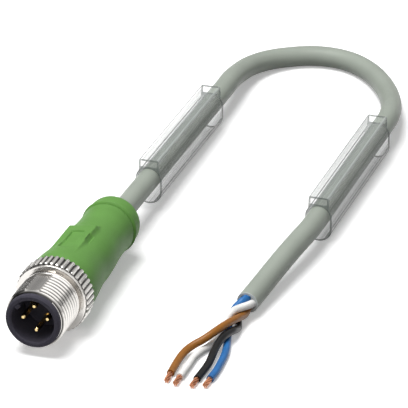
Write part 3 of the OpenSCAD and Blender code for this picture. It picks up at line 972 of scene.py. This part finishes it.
def grip_stations():
    """Distances behind the grip's front face, in millimetres, closer together at its edges."""
    body_step, ring_step, rounds = 0.12, 0.07, 14
    total = (PLUG_LENGTH - GRIP_START) / MM
    ring = total - 6.2
    cap = REAR_EDGE_R / MM
    stations = [0.0, 0.03, 0.08, 0.15, 0.25, 0.4, 0.6]
    while stations[-1] < ring:
        stations.append(stations[-1] + body_step)
    while stations[-1] < total - cap:
        stations.append(stations[-1] + ring_step)
    for k in range(1, rounds + 1):
        stations.append(total - cap * (1 - math.sin(math.pi / 2 * k / rounds)))
    return stations


class BuildGrip(bpy.types.Operator):
    """Build the moulded grip as one smooth skin, with its thumb panel and rear ring"""
    bl_idname = "sensor_plug.grip"
    bl_label = "Moulded grip"

    def execute(self, context):
        s = context.scene.plug_sizes
        angles = grip_angles()
        mouth = [(MOUTH[0], GRIP_START + MOUTH[1]), (MOUTH[0], GRIP_START)]
        rings = [[spin_point(r, a, station) for a in angles] for r, station in mouth]
        for station in grip_stations():
            along = station * MM
            rings.append([spin_point(max(grip_radius(s, a, along), CABLE_HOLE + HOLE_WALL), a,
                                     GRIP_START + along) for a in angles])
        hole = [(CABLE_HOLE + HOLE_EDGE, PLUG_LENGTH), (CABLE_HOLE, PLUG_LENGTH - HOLE_EDGE),
                (CABLE_HOLE, PLUG_LENGTH - HOLE_L)]
        rings += [[spin_point(r, a, station) for a in angles] for r, station in hole]
        grip = new_mesh_object(
            "grip_moulded_skin", joined(rings), grid_faces(len(rings), len(angles)), 60)
        set_material(grip, moulded_polyurethane(context.scene.plug_colours.grip))
        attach(grip, "connector")
        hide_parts("grip_body")
        return {"FINISHED"}


# ---------------------------------------------------------------- the plug's inner pieces

class DressInside(bpy.types.Operator):
    """Give the contact carrier, the contacts and the hidden pieces their materials"""
    bl_idname = "sensor_plug.inside"
    bl_label = "Contacts and carrier"

    def execute(self, context):
        colours = context.scene.plug_colours
        dress_node("contact_carrier", moulded_nylon(colours.carrier, "black"))
        gold = gold_plated_brass(colours.gold)
        for number in range(1, 5):
            dress_node("contact_pin_%d" % number, gold)
        dress_node("friction_ring", nitrile_rubber(colours.rubber))
        dress_node("inner_moulding", moulded_nylon(colours.inner, "inner"))
        return {"FINISHED"}


# ---------------------------------------------------------------- the cable and its wires

# Route of the cable in millimetres, from inside the grip to the cut end
CABLE_ROUTE = (
    [(0, 20, 7.4), (0, 23, 7.4)]
    + [(-0.15 * k, 23 + 10 * k, 7.4 - 0.3 * k) for k in range(1, 8)]
    + [(-1.3, 98.5, 5), (-1.5, 104, 4.1), (-0.9, 110.5, 3.2), (1.4, 116, 2.6), (5.2, 120, 2.25),
       (9.8, 122.2, 2.25), (15, 122.6, 2.25), (20, 120.9, 2.25), (24.6, 117.2, 2.3),
       (28.6, 111.8, 2.6), (32, 105.2, 3.2), (34.6, 98, 4.1), (35.8, 92.6, 4.9)]
    + [(36.3, 88, 5.3), (36.3, 75, 5.3), (36.3, 62, 5.3), (36.3, 49, 5.3), (36.3, 36, 5.3),
       (35.8, 29.6, 5.2), (35.1, 23.2, 4.8), (34.4, 16.8, 4.2), (33.7, 10.4, 3.5), (33.1, 5, 3)])

# Routes of the wires in millimetres, from the cut face of the jacket to their stripped ends
WIRE_ROUTES = {
    "brown": [(33.2, 5, 1.9), (33.5, 2.5, 1.9), (33.4, 0.5, 2.3), (33.2, -1.6, 2.9),
              (32.7, -4.4, 3.4), (31.9, -7.4, 3.6), (30.8, -9.8, 3.2), (29.6, -11.2, 2.5),
              (28.2, -12.4, 1.8), (27.2, -14.4, 1.3), (26.9, -17.6, 1), (27.1, -22.6, 0.75)],
    "white": [(34.2, 5, 3.1), (33.9, 3.4, 3.4), (33, 1.6, 3.6), (32, 0, 3.5), (31.4, -2.2, 2.9),
              (31.1, -6, 1.7), (30.6, -9.8, 0.75), (29.8, -12.2, 0.75), (29.2, -15, 0.75),
              (29.2, -18.6, 0.75), (29.2, -23.4, 0.75)],
    "blue": [(33, 5, 4), (32.5, 3.6, 3.9), (31.5, 2.2, 2.8), (31.3, 0.6, 1.9), (31.4, -1.2, 1),
             (31.8, -2.8, 0.75), (32.4, -4.8, 0.75), (33.4, -8.2, 0.75), (34.3, -12, 0.75),
             (34.7, -15.8, 0.75), (34.9, -19.2, 0.75), (34.8, -22.4, 0.75)],
    "black": [(32, 5, 2.8), (31.9, 3.6, 2), (32.2, 2.2, 1.2), (32.7, 0.6, 0.8), (33.3, -1.2, 0.8),
              (33.5, -3, 1.3), (33.5, -5, 2), (33.2, -6.6, 2.3), (32.8, -8.4, 2.4),
              (32.5, -10, 2.1), (32.4, -12.4, 1.6), (32.7, -17.4, 0.9), (32.5, -23.2, 0.75)],
}

# Each wire starts this far back inside the jacket, and its strands this far inside its tip
INTO_JACKET = Vector((0.7, 6.4, 0.6)).normalized() * 3.4 * MM
INTO_WIRE = 0.4 * MM

CABLE_SIDES = 28
WIRE_SIDES = 20
STRAND_SIDES = 10
STRAND_POINTS = 14

SLEEVE_NAMES = ("sleeve_clear_1", "sleeve_clear_2")


def cable_skin(path, radius, wall, recess):
    """Points and faces of the jacket: a tube whose cut end shows its wall and a shallow hollow."""
    sides = CABLE_SIDES
    edge = 0.08 * MM
    inner_edge = 0.05 * MM
    frames = ring_frames(path)
    end, end_frame = path[-1], frames[-1]
    back = (path[-2] - end).normalized()
    rings = [(p, f, radius) for p, f in zip(path[:-1], frames)]
    rings += [(end + back * edge, end_frame, radius),
              (end, end_frame, radius - edge),
              (end, end_frame, radius - wall + inner_edge),
              (end + back * inner_edge, end_frame, radius - wall),
              (end + back * recess, end_frame, radius - wall)]
    points = []
    for centre, (side, top), r in rings:
        for k in range(sides):
            a = TURN * k / sides
            points.append(centre + r * (math.cos(a) * side + math.sin(a) * top))
    return points, capped_faces(len(rings), sides)


class BuildCable(bpy.types.Operator):
    """Build the cable's jacket along its route, with its cut end"""
    bl_idname = "sensor_plug.cable"
    bl_label = "Cable jacket"

    def execute(self, context):
        s = context.scene.cable_sizes
        colours = context.scene.plug_colours
        path = smooth_route(CABLE_ROUTE)
        points, faces = cable_skin(path, s.cable_d / 2, s.jacket_wall, recess=0.3 * MM)
        cable = new_mesh_object("cable_jacket_skin", points, faces, 40)
        set_material(cable, extruded_jacket(colours.jacket), cut_jacket(colours.cut_face))
        # The faces that look out of the cut end
        ahead = (path[-1] - path[-2]).normalized()
        for face in cable.data.polygons:
            if face.normal.dot(ahead) > 0.6 and (face.center - path[-1]).length < s.cable_d:
                face.material_index = 1
        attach(cable, "connector")
        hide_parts("cable_jacket")
        return {"FINISHED"}


class BuildWires(bpy.types.Operator):
    """Build the four insulated wires and their stripped copper strands"""
    bl_idname = "sensor_plug.wires"
    bl_label = "Wires and strands"

    def execute(self, context):
        s = context.scene.cable_sizes
        colours = context.scene.plug_colours
        tube = tube_tree()
        lay = strand_tree()
        copper = drawn_copper(colours.copper)
        for name, route in WIRE_ROUTES.items():
            seen = smooth_route(route)
            path = [seen[0] + INTO_JACKET] + seen
            insulation = extruded_insulation(getattr(colours, name), name)
            wire = run_group(
                "wire_insulation_" + name, route_object(path), tube,
                {"Radius": s.wire_d / 2, "Sides": WIRE_SIDES, "Material": insulation}, 40)
            ahead = (path[-1] - path[-3]).normalized()
            base = path[-1] - ahead * INTO_WIRE
            bare = [base + ahead * s.strand_l * k / 4 for k in range(5)]
            strands = run_group(
                "wire_strands_" + name, route_object(bare), lay,
                {"Strands": s.strand_count, "Strand radius": s.strand_d / 2,
                 "Lay radius": (s.bundle_d - s.strand_d) / 2, "Turns": s.strand_turns,
                 "Points": STRAND_POINTS, "Sides": STRAND_SIDES, "Material": copper}, 40)
            for piece in (wire, strands):
                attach(piece, "connector")
            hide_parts("wire_" + name)
            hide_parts("strands_" + name)
        return {"FINISHED"}


# ---------------------------------------------------------------- the marker sleeves

# Rounding of the pocket's outer corners, how far its walls stand out where they meet the tube,
# and the easing of a sleeve's cut ends
POCKET_CORNER = 0.4 * MM
POCKET_FOOT = 0.1 * MM
CUT_EDGE = 0.04 * MM

# How far the cable lies under the top of a sleeve's bore
CABLE_GAP = 0.1 * MM


def arc(centre, radius, start, end, steps):
    """Points of an arc from one angle to another, both ends included."""
    angles = [start + (end - start) * k / steps for k in range(steps + 1)]
    return [(centre[0] + radius * math.cos(a), centre[1] + radius * math.sin(a)) for a in angles]


def sleeve_outlines(s):
    """Outer outline, cable bore and label slot of a sleeve, from its lowest line up."""
    r = s.sleeve_w / 2
    low = (0, r)
    high = (0, s.sleeve_h - r)
    top = s.sleeve_h + s.pocket_h
    half = s.pocket_w / 2
    meet = math.acos((half + POCKET_FOOT) / r)
    shoulder = arc(high, r, 0, meet, 8)
    corner = arc((half - POCKET_CORNER, top - POCKET_CORNER), POCKET_CORNER, 0, math.pi / 2, 6)
    right = shoulder + corner
    outer = arc(low, r, math.pi, TURN, 16) + right + [(-x, y) for x, y in reversed(right)]
    inner = r - s.sleeve_wall
    bore = arc(high, inner, 0, math.pi, 16) + arc(low, inner, math.pi, TURN, 16)
    x = half - s.sleeve_wall
    roof = top - s.sleeve_wall
    slot = [(-x, s.sleeve_h), (x, s.sleeve_h), (x, roof), (-x, roof)]
    return outer, bore, slot


def sleeve_mesh(name, s, length):
    """A sleeve from flat outlines, pushed out along its length with eased edges."""
    curve = bpy.data.curves.new(name, "CURVE")
    curve.dimensions = "2D"
    curve.fill_mode = "BOTH"
    curve.extrude = length / 2 - CUT_EDGE
    curve.bevel_depth = CUT_EDGE
    curve.bevel_resolution = 1
    curve.offset = -CUT_EDGE
    for loop in sleeve_outlines(s):
        spline = curve.splines.new("POLY")
        spline.points.add(len(loop) - 1)
        spline.use_cyclic_u = True
        for place, (x, y) in zip(spline.points, loop):
            place.co = (x, y, 0.0, 1.0)
    thing = placed(bpy.data.objects.new(name, curve))
    mesh = evaluated_mesh(thing)
    bpy.data.objects.remove(thing)
    bpy.data.curves.remove(curve)
    return mesh


class BuildSleeves(bpy.types.Operator):
    """Build the two clear marker sleeves that slide on the cable"""
    bl_idname = "sensor_plug.sleeves"
    bl_label = "Marker sleeves"

    def execute(self, context):
        s = context.scene.cable_sizes
        colours = context.scene.plug_colours
        # The rims and the darker, more opaque cut ends are painted shade that draws the walls'
        # edges dark. The pocket's corners take the painted rim over a wider slant
        clear = clear_vinyl(colours.sleeve, "clear_extruded_vinyl",
                            lines=(0.05, 0.24), edge_on=0.85, rim_at=(0.75, 0.81))
        cut = clear_vinyl(colours.sleeve_cut, "clear_vinyl_cut_end",
                          lines=(0.6, 0.85), edge_on=0.9, rim_at=(0.75, 0.81))
        corner = clear_vinyl(colours.sleeve, "clear_vinyl_corner",
                             lines=(0.45, 0.7), edge_on=0.9, rim_at=(0.6, 0.72))
        length = SLEEVE_HIGH[1] - SLEEVE_LOW[1]
        cable_up = s.sleeve_h - s.sleeve_wall - CABLE_GAP - s.cable_d / 2
        slack = 0.02 * MM
        corner_up = s.sleeve_h + s.pocket_h - POCKET_CORNER - slack
        corner_out = s.pocket_w / 2 - POCKET_CORNER - slack
        # Where each sleeve's near end lies on the cable, and the cable's direction there
        step = Vector((-0.15, 10, -0.3))
        first = (Vector((0, 23, 7.4)) + 2 * step) * MM
        second = Vector((36.3 * MM, SLEEVE_LOW[1], 5.3 * MM))
        for number, near, along in ((1, first, step.normalized()), (2, second, Vector((0, 1, 0)))):
            name = SLEEVE_NAMES[number - 1]
            mesh = sleeve_mesh(name, s, length)
            side = along.cross(UP).normalized()
            up = side.cross(along)
            middle = near + along * length / 2 - up * cable_up
            turn = Matrix((side, up, -along)).transposed().to_4x4()
            mesh.transform(Matrix.Translation(middle) @ turn)
            sleeve = finished(name, mesh, 20)
            set_material(sleeve, clear, cut, corner)
            # Its cut ends and the pocket's two rounded corners show more than its flat walls do,
            # and carry more painted shade as dark edges
            for face in sleeve.data.polygons:
                place = face.center - middle
                if abs(face.normal.dot(along)) > 0.9:
                    face.material_index = 1
                elif place.dot(up) > corner_up and abs(place.dot(side)) > corner_out:
                    face.material_index = 2
            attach(sleeve, "sleeve_%d" % number)
            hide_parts("marker_sleeve_%d" % number)
        return {"FINISHED"}


# ---------------------------------------------------------------- camera, floor and lamps

# The floor's half width, and how its lift towards white grows with distance from the middle
FLOOR_REACH = 3.0
LIFT_FROM, LIFT_TO = 0.25, 0.7
LIFT_NEAR = 0.3

# The light that the surroundings give the object, where the eye would see them as 1
ROOM_LEVEL = 0.14

# For gloss, which way the room is bright, and how bright it is at two heights that way
ROOM_LEAN = (0.35, 0, 1)
ROOM_TONES = ((0.05, 0.12), (0.6, 1.0))


def seen_straight(tree):
    """1 for rays from the eye, and for those that reach it by way of metal or glass."""
    path = add_node(tree, "ShaderNodeLightPath")
    glossy = add_node(tree, "ShaderNodeMath", {
        0: path.outputs["Is Camera Ray"], 1: path.outputs["Is Glossy Ray"]}, operation="ADD")
    either = add_node(tree, "ShaderNodeMath", {
        0: glossy.outputs["Value"], 1: path.outputs["Is Transmission Ray"]},
        operation="ADD", use_clamp=True)
    return either.outputs["Value"]


def room_tone(tree):
    """White for the eye, and for gloss a room that is bright overhead and dark low at the left."""
    coords = add_node(tree, "ShaderNodeTexCoord")
    height = add_node(tree, "ShaderNodeVectorMath", {
        0: coords.outputs["Generated"], 1: ROOM_LEAN}, operation="DOT_PRODUCT")
    ramp = add_node(tree, "ShaderNodeValToRGB", {"Fac": height.outputs["Value"]})
    for element, (place, level) in zip(ramp.color_ramp.elements, ROOM_TONES):
        element.position = place
        element.color = (level, level, level, 1.0)
    path = add_node(tree, "ShaderNodeLightPath")
    mix = add_node(tree, "ShaderNodeMix", {
        "Factor": path.outputs["Is Glossy Ray"], "A": WHITE, "B": ramp.outputs["Color"]},
        data_type="RGBA")
    return mix.outputs["Result"]


def white_floor(colour):
    """Plain matt floor that reads as white where it is lit, and keeps its shadows.

    Only the light that bounces off it takes its own colour, which keeps the shadows under the
    object deep. It is lifted a little towards white, and more so far off, where less light falls.
    """
    mat, tree, shader = new_material("plain_white_floor", {
        "Roughness": 0.9, "Specular IOR Level": 0.0, "Emission Color": WHITE})
    straight = seen_straight(tree)
    coords = add_node(tree, "ShaderNodeTexCoord")
    reach = add_node(tree, "ShaderNodeVectorMath", {0: coords.outputs["Object"]},
                     operation="LENGTH")
    far = add_node(tree, "ShaderNodeMapRange", {
        "Value": reach.outputs["Value"], "From Min": LIFT_FROM, "From Max": LIFT_TO,
        "To Min": LIFT_NEAR}, interpolation_type="SMOOTHSTEP")
    lift = add_node(tree, "ShaderNodeMath", {0: straight, 1: far.outputs["Result"]},
                    operation="MULTIPLY")
    seen = add_node(tree, "ShaderNodeMix", {
        "Factor": straight, "A": shaded(colour), "B": WHITE}, data_type="RGBA")
    tree.links.new(lift.outputs["Value"], shader.inputs["Emission Strength"])
    tree.links.new(seen.outputs["Result"], shader.inputs["Base Color"])
    return mat


def add_lamp(name, place, target, size, power):
    """A round lamp that faces its target."""
    data = bpy.data.lights.new(name, "AREA")
    data.shape = "DISK"
    data.size = size
    data.energy = power
    lamp = placed(bpy.data.objects.new(name, data))
    lamp.location = place
    heading = Vector(target) - Vector(place)
    lamp.rotation_euler = heading.to_track_quat("-Z", "Y").to_euler()


class BuildCamera(bpy.types.Operator):
    """Set the camera"""
    bl_idname = "sensor_plug.camera"
    bl_label = "Camera"

    def execute(self, context):
        data = bpy.data.cameras.new("camera")
        data.sensor_width = 36.0
        data.lens = 352.9
        data.clip_end = 10.0
        camera = placed(bpy.data.objects.new("camera", data))
        camera.location = (0.2433, -0.6419, 0.3553)
        camera.rotation_euler = (math.radians(64.03), 0.0, math.radians(18.70))
        context.scene.camera = camera
        return {"FINISHED"}


class BuildStage(bpy.types.Operator):
    """Set the floor, the lamps and the surroundings"""
    bl_idname = "sensor_plug.stage"
    bl_label = "Floor and lamps"

    def execute(self, context):
        context.scene.view_settings.view_transform = "Standard"
        reach = FLOOR_REACH
        points = [(-reach, -reach, 0), (reach, -reach, 0), (reach, reach, 0), (-reach, reach, 0)]
        floor = new_mesh_object("floor", points, [(0, 1, 2, 3)])
        set_material(floor, white_floor(context.scene.plug_colours.floor))
        target = (0.015, 0.04, 0.0)
        add_lamp("key_lamp", (-0.12, -0.05, 0.68), target, size=0.50, power=5.4)
        add_lamp("front_lamp", (0.12, -0.70, 0.42), target, size=0.80, power=1.6)
        world = bpy.data.worlds.new("surroundings")
        context.scene.world = world
        world.use_nodes = True
        tree = world.node_tree
        tree.nodes.clear()
        level = add_node(tree, "ShaderNodeMapRange", {
            "Value": seen_straight(tree), "To Min": ROOM_LEVEL, "To Max": 1.0})
        back = add_node(tree, "ShaderNodeBackground", {
            "Color": room_tone(tree), "Strength": level.outputs["Result"]})
        add_node(tree, "ShaderNodeOutputWorld", {"Surface": back.outputs["Background"]})
        return {"FINISHED"}


# ---------------------------------------------------------------- the panel and the run

class SensorPlugPanel(bpy.types.Panel):
    """Lists the sizes, the colours and the build steps"""
    bl_idname = "VIEW3D_PT_sensor_plug"
    bl_label = "Sensor Plug"
    bl_space_type = "VIEW_3D"
    bl_region_type = "UI"
    bl_category = "Sensor Plug"

    def draw(self, context):
        scene = context.scene
        for group in (scene.plug_sizes, scene.cable_sizes, scene.plug_colours):
            box = self.layout.box()
            for name in group.bl_rna.properties.keys():
                if name not in ("rna_type", "name"):
                    box.prop(group, name)
        for step in STEPS:
            self.layout.operator(step.bl_idname)


# The sleeves come before the cable
STEPS = (BuildCamera, BuildSleeves, BuildCable, BuildWires, DressInside, BuildNut, BuildGrip,
         BuildStage)
CLASSES = (PlugSizes, CableSizes, PlugColours) + STEPS + (SensorPlugPanel,)


def register():
    for item in CLASSES:
        bpy.utils.register_class(item)
    bpy.types.Scene.plug_sizes = bpy.props.PointerProperty(type=PlugSizes)
    bpy.types.Scene.cable_sizes = bpy.props.PointerProperty(type=CableSizes)
    bpy.types.Scene.plug_colours = bpy.props.PointerProperty(type=PlugColours)


def unregister():
    del bpy.types.Scene.plug_colours
    del bpy.types.Scene.cable_sizes
    del bpy.types.Scene.plug_sizes
    for item in reversed(CLASSES):
        bpy.utils.unregister_class(item)


def main():
    register()
    for step in STEPS:
        family, name = step.bl_idname.split(".")
        getattr(getattr(bpy.ops, family), name)()


if __name__ == "__main__":
    main()
